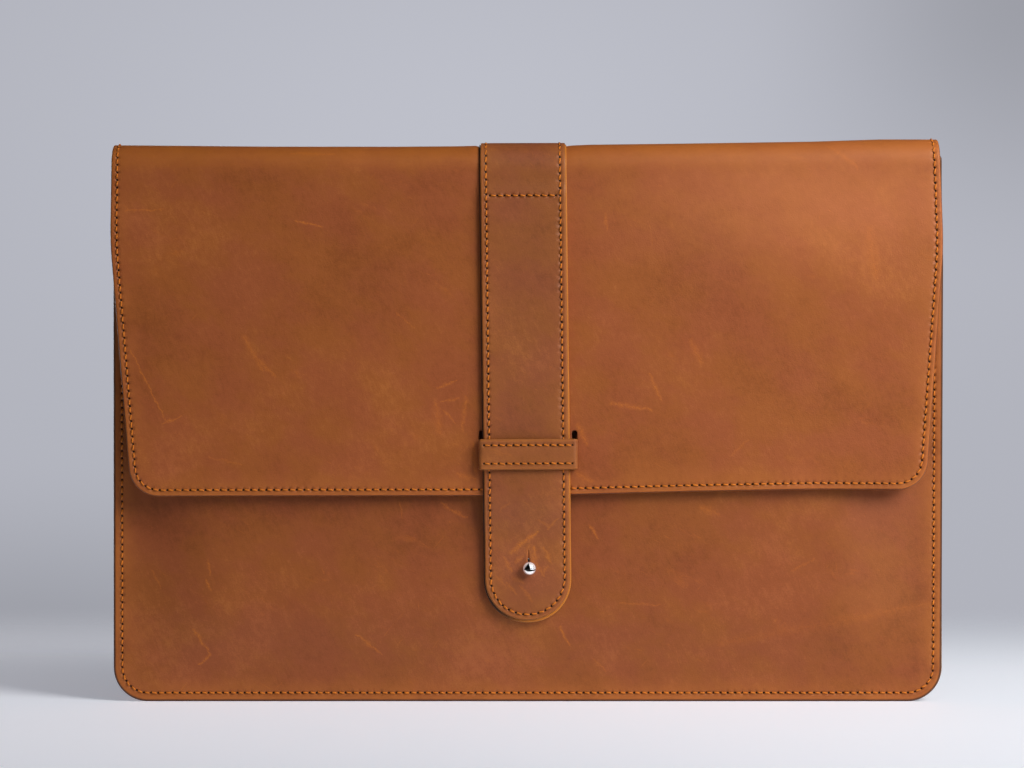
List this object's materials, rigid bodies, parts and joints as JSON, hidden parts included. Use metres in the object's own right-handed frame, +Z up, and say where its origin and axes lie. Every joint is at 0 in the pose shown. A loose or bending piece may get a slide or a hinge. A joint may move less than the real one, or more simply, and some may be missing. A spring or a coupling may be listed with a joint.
{
  "type": "laptop sleeve",
  "caption": "Upright leather laptop sleeve: a sewn pocket, a fold-over flap and a wide centre strap that runs under a sliding keeper and buttons onto a ball stud.",
  "frame": {"origin": "middle of the sleeve's bottom edge, in the plane where the front and back halves of the pocket meet", "axes": "+X along the width, towards the viewer's right; the front with flap and strap faces -Y; +Z up towards the fold"},
  "size_m": [0.38, 0.0321, 0.2576],
  "materials": {
    "leather": "waxed pull-up leather, cognac tan, semi-matt",
    "strap_leather": "waxed pull-up leather, cognac tan, semi-matt",
    "flesh_side": "smooth second ply, matt",
    "lining": "soft suede lining",
    "thread": "waxed orange thread",
    "metal": "polished nickel"
  },
  "bodies": {
    "pocket": {"front_panel": "leather", "front_lining": "lining", "back_panel": "leather", "back_lining": "lining", "seam_thread": "thread", "mouth_thread": "thread", "strap_back": "strap_leather", "strap_back_thread": "thread", "stud": "metal", "stud_screw": "metal"},
    "fold_rear": {"fold_rear_leather": "leather", "fold_rear_lining": "lining", "fold_rear_strap": "strap_leather", "fold_rear_thread": "thread"},
    "fold_top": {"fold_top_leather": "leather", "fold_top_lining": "lining", "fold_top_strap": "strap_leather", "fold_top_thread": "thread"},
    "fold_front": {"fold_front_leather": "leather", "fold_front_lining": "lining", "fold_front_strap": "strap_leather", "fold_front_thread": "thread"},
    "flap": {"flap_panel": "leather", "flap_lining": "lining", "flap_thread": "thread", "strap_front": "strap_leather", "strap_front_backing": "flesh_side", "strap_thread": "thread", "strap_anchor_thread": "thread"},
    "strap_end": {"strap_tip": "strap_leather", "strap_tip_backing": "flesh_side", "strap_tip_thread": "thread"},
    "keeper": {"keeper_band": "strap_leather", "keeper_thread": "thread"}
  },
  "joints": [
    {"name": "fold_hinge_1", "type": "hinge", "parent": "pocket", "child": "fold_rear", "pos_m": [0, 0.0088, 0.24872], "axis": [-1, 0, 0], "range_deg": [0, 45]},
    {"name": "fold_hinge_2", "type": "hinge", "parent": "fold_rear", "child": "fold_top", "pos_m": [0, 0.00212, 0.2554], "axis": [-1, 0, 0], "range_deg": [0, 45]},
    {"name": "fold_hinge_3", "type": "hinge", "parent": "fold_top", "child": "fold_front", "pos_m": [0, -0.00732, 0.2554], "axis": [-1, 0, 0], "range_deg": [0, 45]},
    {"name": "fold_hinge_4", "type": "hinge", "parent": "fold_front", "child": "flap", "pos_m": [0, -0.014, 0.24872], "axis": [-1, 0, 0], "range_deg": [0, 45]},
    {"name": "strap_end_lift", "type": "hinge", "parent": "flap", "child": "strap_end", "pos_m": [0, -0.01702, 0.1061], "axis": [-1, 0, 0], "range_deg": [0, 90]},
    {"name": "keeper_slide", "type": "slide", "parent": "flap", "child": "keeper", "axis": [0, 0, 1], "range_m": [0, 0.0036]}
  ],
  "couplings": [
    {"joint": "fold_hinge_2", "follows": "fold_hinge_1", "ratio": 1},
    {"joint": "fold_hinge_3", "follows": "fold_hinge_1", "ratio": 1},
    {"joint": "fold_hinge_4", "follows": "fold_hinge_1", "ratio": 1}
  ]
}
